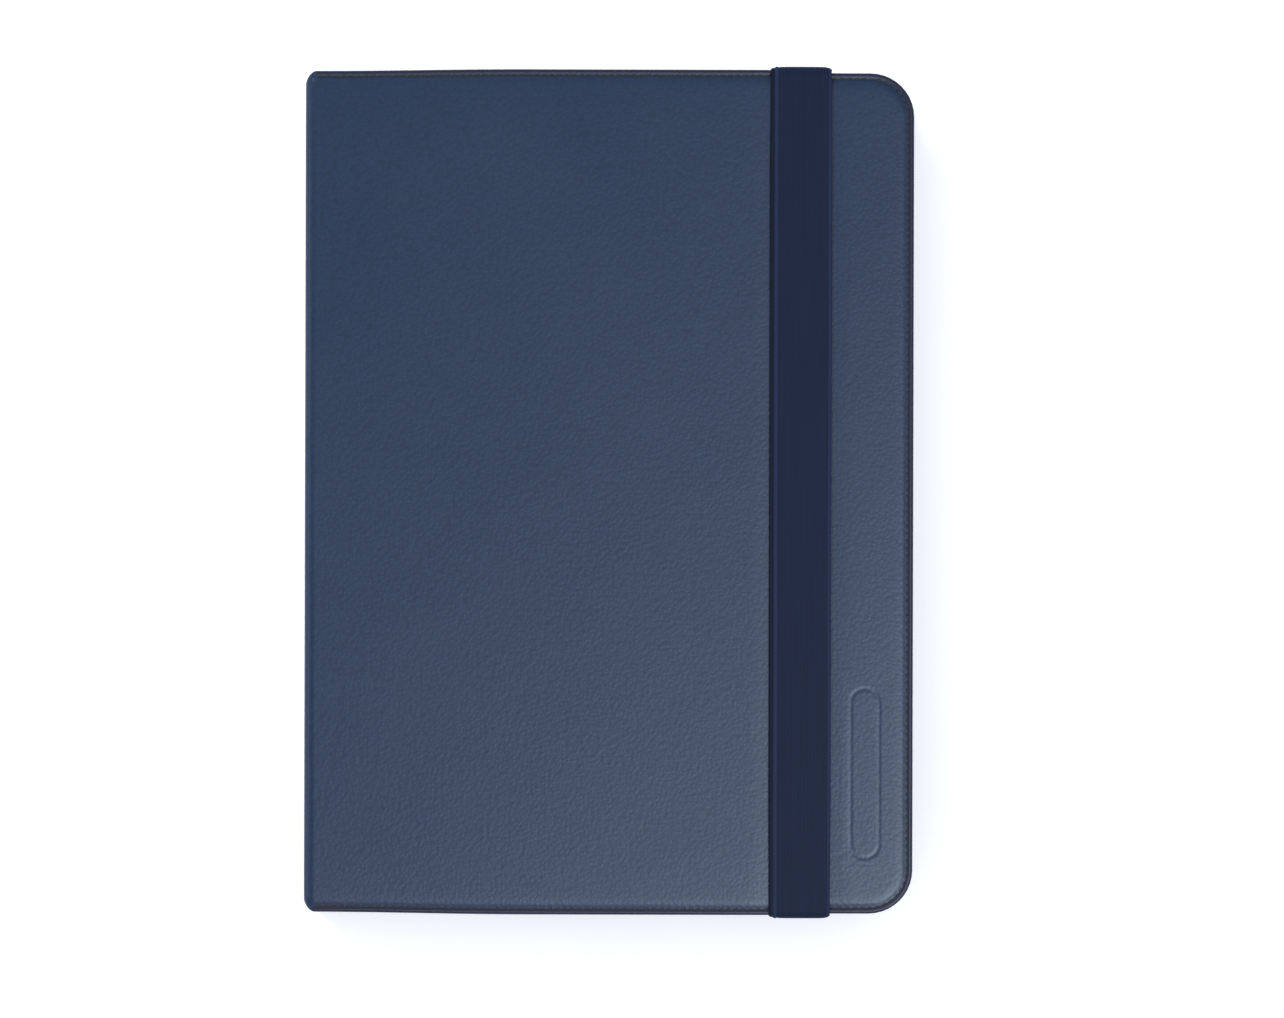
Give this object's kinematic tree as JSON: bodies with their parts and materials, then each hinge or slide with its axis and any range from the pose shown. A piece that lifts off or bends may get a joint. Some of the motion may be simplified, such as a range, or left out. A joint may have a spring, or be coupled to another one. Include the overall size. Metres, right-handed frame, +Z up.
{
  "type": "tablet keyboard case",
  "caption": "Folio case for a tablet: leatherette covers round a spine, snap-in cradle, keyboard on the front cover, kickstand in the back, elastic closure band.",
  "frame": {"origin": "middle of the closed case's base, on the face it lies on", "axes": "+X from the spine to the fore-edge, +Y along the spine towards the camera hole, +Z up through the closed case"},
  "size_m": [0.18, 0.252, 0.0259],
  "materials": {
    "leatherette": "grained navy synthetic leather, satin",
    "board": "pressed fibre board, matt",
    "microfibre": "brushed microfibre, dark",
    "elastic": "woven navy elastic, matt",
    "cradle_plastic": "moulded, fine spark texture",
    "deck_plastic": "moulded, satin",
    "case_plastic": "moulded, matt",
    "key_plastic": "moulded, satin top",
    "steel": "stamped, satin",
    "magnet": "nickel plated",
    "silicone": "translucent grey, matt",
    "film": "clear polyester film",
    "circuit": "green solder mask",
    "battery": "foil pouch",
    "tape": "double-sided tape",
    "lamp": "clear light pipe"
  },
  "bodies": {
    "back_cover": {"back_cover_skin": "leatherette", "back_cover_board": "board", "back_cover_lining": "microfibre", "camera_ring": "cradle_plastic", "stand_magnet_strip": "magnet", "band_tail_top": "elastic", "band_tail_bottom": "elastic", "tablet_cradle": "cradle_plastic"},
    "kickstand": {"stand_skin": "leatherette", "stand_board": "board", "stand_steel_strip": "steel", "stand_pull_tab": "elastic"},
    "band": {"elastic_band": "elastic"},
    "spine": {"spine_skin": "leatherette", "spine_board": "board", "spine_lining": "microfibre"},
    "front_cover": {"front_cover_skin": "leatherette", "front_cover_board": "board", "front_cover_lining": "microfibre", "keyboard_tape": "tape", "sleep_magnet": "magnet", "keyboard_top_case": "deck_plastic", "keyboard_bottom_case": "case_plastic", "dome_sheet": "silicone", "contact_sheet": "film", "keyboard_support_plate": "steel", "main_board": "circuit", "charge_socket": "steel", "battery_cell": "battery", "power_switch_base": "case_plastic", "connect_switch_base": "case_plastic", "led_window_power": "lamp", "led_window_caps": "lamp", "led_window_charge": "lamp", "keyboard_screw_1": "steel", "keyboard_screw_2": "steel", "keyboard_screw_3": "steel", "keyboard_screw_4": "steel", "keyboard_screw_5": "steel"},
    "power_switch": {"power_switch": "key_plastic"},
    "connect_button": {"connect_button": "key_plastic"},
    "function_keys": {"function_keys": "key_plastic"},
    "number_keys": {"number_keys": "key_plastic"},
    "backspace_key": {"backspace_key": "key_plastic"},
    "upper_letter_keys": {"upper_letter_keys": "key_plastic"},
    "home_letter_keys": {"home_letter_keys": "key_plastic"},
    "enter_key": {"enter_key": "key_plastic"},
    "left_shift_key": {"left_shift_key": "key_plastic"},
    "lower_letter_keys": {"lower_letter_keys": "key_plastic"},
    "right_shift_key": {"right_shift_key": "key_plastic"},
    "up_arrow_key": {"up_arrow_key": "key_plastic"},
    "control_keys": {"control_keys": "key_plastic"},
    "space_bar": {"space_bar": "key_plastic"},
    "arrow_keys": {"arrow_keys": "key_plastic"}
  },
  "joints": [
    {"name": "spine_hinge", "type": "hinge", "parent": "back_cover", "child": "spine", "pos_m": [-0.0886, 0, 0.00165], "axis": [0, -1, 0], "range_deg": [0, 90]},
    {"name": "front_cover_hinge", "type": "hinge", "parent": "spine", "child": "front_cover", "pos_m": [-0.0886, 0, 0.02325], "axis": [0, -1, 0], "range_deg": [0, 90]},
    {"name": "band_release", "type": "hinge", "parent": "back_cover", "child": "band", "pos_m": [0.05655, 0, 0], "axis": [0, 1, 0], "range_deg": [0, 180], "deforming": ["elastic_band"]},
    {"name": "stand_hinge", "type": "hinge", "parent": "back_cover", "child": "kickstand", "pos_m": [0.006, 0, 0.0014], "axis": [0, -1, 0], "range_deg": [0, 60]},
    {"name": "power_switch_slide", "type": "slide", "parent": "front_cover", "child": "power_switch", "axis": [0, 1, 0], "range_m": [0, 0.0025]},
    {"name": "connect_button_press", "type": "slide", "parent": "front_cover", "child": "connect_button", "axis": [0, 0, 1], "range_m": [0, 0.0005], "stiffness_N_per_m": 800, "springref_m": -0.0005},
    {"name": "function_keys_press", "type": "slide", "parent": "front_cover", "child": "function_keys", "axis": [0, 0, 1], "range_m": [0, 0.0013], "stiffness_N_per_m": 300, "springref_m": -0.001},
    {"name": "number_keys_press", "type": "slide", "parent": "front_cover", "child": "number_keys", "axis": [0, 0, 1], "range_m": [0, 0.0013], "stiffness_N_per_m": 300, "springref_m": -0.001},
    {"name": "backspace_key_press", "type": "slide", "parent": "front_cover", "child": "backspace_key", "axis": [0, 0, 1], "range_m": [0, 0.0013], "stiffness_N_per_m": 300, "springref_m": -0.001},
    {"name": "upper_letter_keys_press", "type": "slide", "parent": "front_cover", "child": "upper_letter_keys", "axis": [0, 0, 1], "range_m": [0, 0.0013], "stiffness_N_per_m": 300, "springref_m": -0.001},
    {"name": "home_letter_keys_press", "type": "slide", "parent": "front_cover", "child": "home_letter_keys", "axis": [0, 0, 1], "range_m": [0, 0.0013], "stiffness_N_per_m": 300, "springref_m": -0.001},
    {"name": "enter_key_press", "type": "slide", "parent": "front_cover", "child": "enter_key", "axis": [0, 0, 1], "range_m": [0, 0.0013], "stiffness_N_per_m": 300, "springref_m": -0.001},
    {"name": "left_shift_key_press", "type": "slide", "parent": "front_cover", "child": "left_shift_key", "axis": [0, 0, 1], "range_m": [0, 0.0013], "stiffness_N_per_m": 300, "springref_m": -0.001},
    {"name": "lower_letter_keys_press", "type": "slide", "parent": "front_cover", "child": "lower_letter_keys", "axis": [0, 0, 1], "range_m": [0, 0.0013], "stiffness_N_per_m": 300, "springref_m": -0.001},
    {"name": "right_shift_key_press", "type": "slide", "parent": "front_cover", "child": "right_shift_key", "axis": [0, 0, 1], "range_m": [0, 0.0013], "stiffness_N_per_m": 300, "springref_m": -0.001},
    {"name": "up_arrow_key_press", "type": "slide", "parent": "front_cover", "child": "up_arrow_key", "axis": [0, 0, 1], "range_m": [0, 0.0013], "stiffness_N_per_m": 300, "springref_m": -0.001},
    {"name": "control_keys_press", "type": "slide", "parent": "front_cover", "child": "control_keys", "axis": [0, 0, 1], "range_m": [0, 0.0013], "stiffness_N_per_m": 300, "springref_m": -0.001},
    {"name": "space_bar_press", "type": "slide", "parent": "front_cover", "child": "space_bar", "axis": [0, 0, 1], "range_m": [0, 0.0013], "stiffness_N_per_m": 300, "springref_m": -0.001},
    {"name": "arrow_keys_press", "type": "slide", "parent": "front_cover", "child": "arrow_keys", "axis": [0, 0, 1], "range_m": [0, 0.0013], "stiffness_N_per_m": 300, "springref_m": -0.001}
  ],
  "couplings": [
    {"joint": "front_cover_hinge", "follows": "spine_hinge", "ratio": 1},
    {"joint": "band_release", "follows": "spine_hinge", "ratio": 2}
  ]
}
